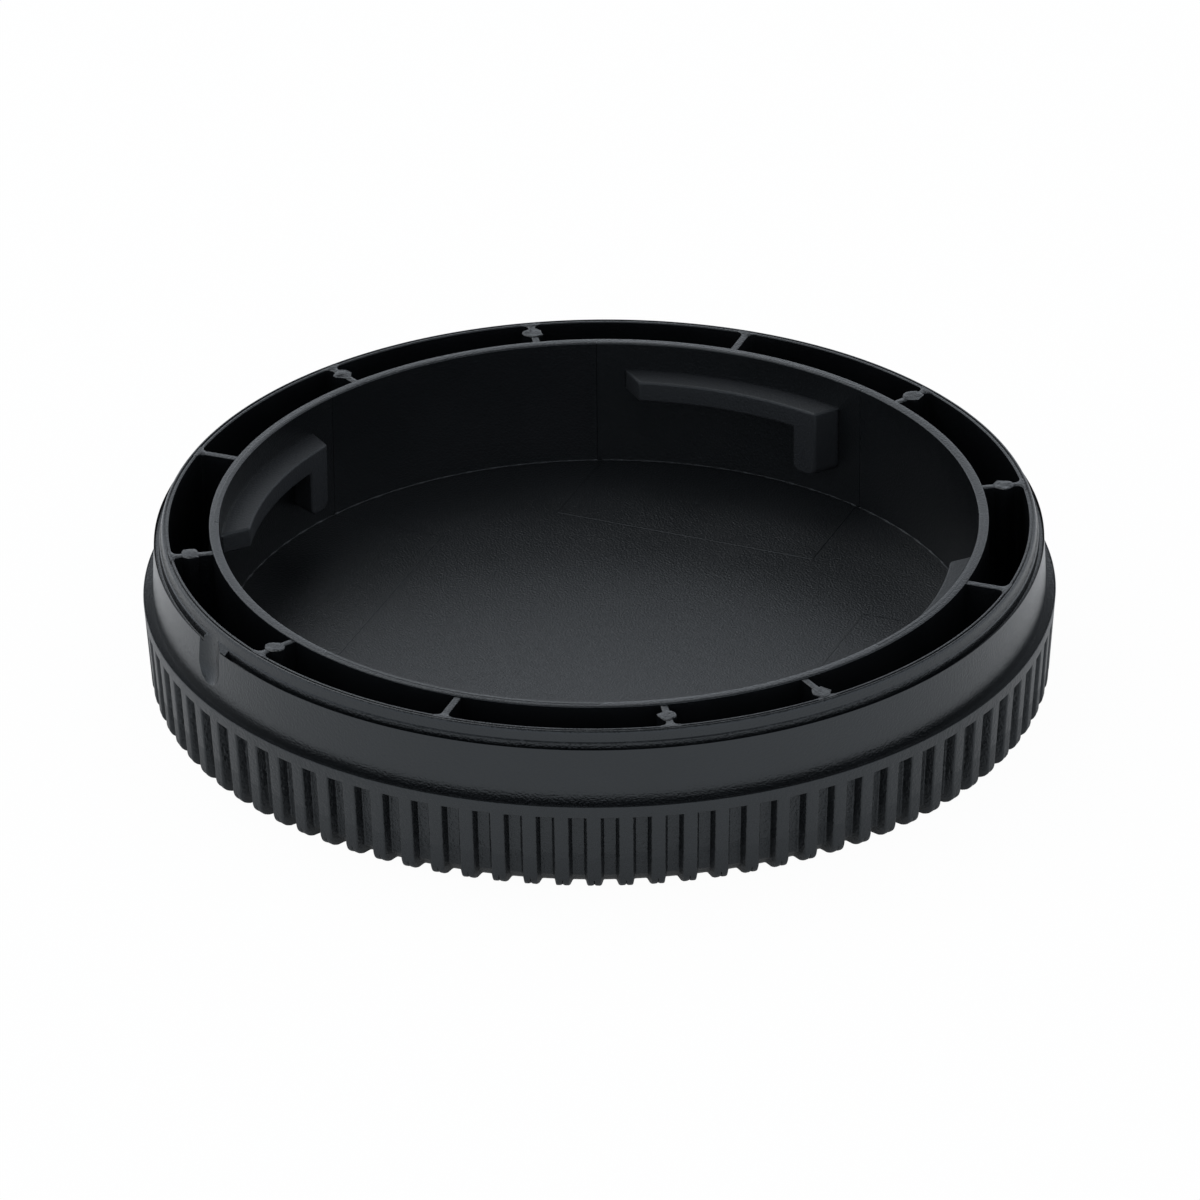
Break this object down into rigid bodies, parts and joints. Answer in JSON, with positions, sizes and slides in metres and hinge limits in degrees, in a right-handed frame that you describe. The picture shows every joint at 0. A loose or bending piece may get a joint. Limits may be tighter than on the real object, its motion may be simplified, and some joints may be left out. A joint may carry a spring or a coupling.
{
  "type": "rear lens cap",
  "caption": "Round moulded rear lens cap: a shallow cup with bayonet lugs inside, an open double wall bridged by thin webs, a plain collar and a ribbed grip.",
  "frame": {"origin": "centre of the closed face that the cap rests on", "axes": "+Z along the cap's axis, out of its open side; the index mark on the collar faces -Y"},
  "size_m": [0.067, 0.067, 0.0125],
  "materials": {
    "black_moulding": "satin black moulded plastic with a fine grain"
  },
  "bodies": {
    "root": {"rear_lens_cap": "black_moulding"}
  },
  "joints": []
}
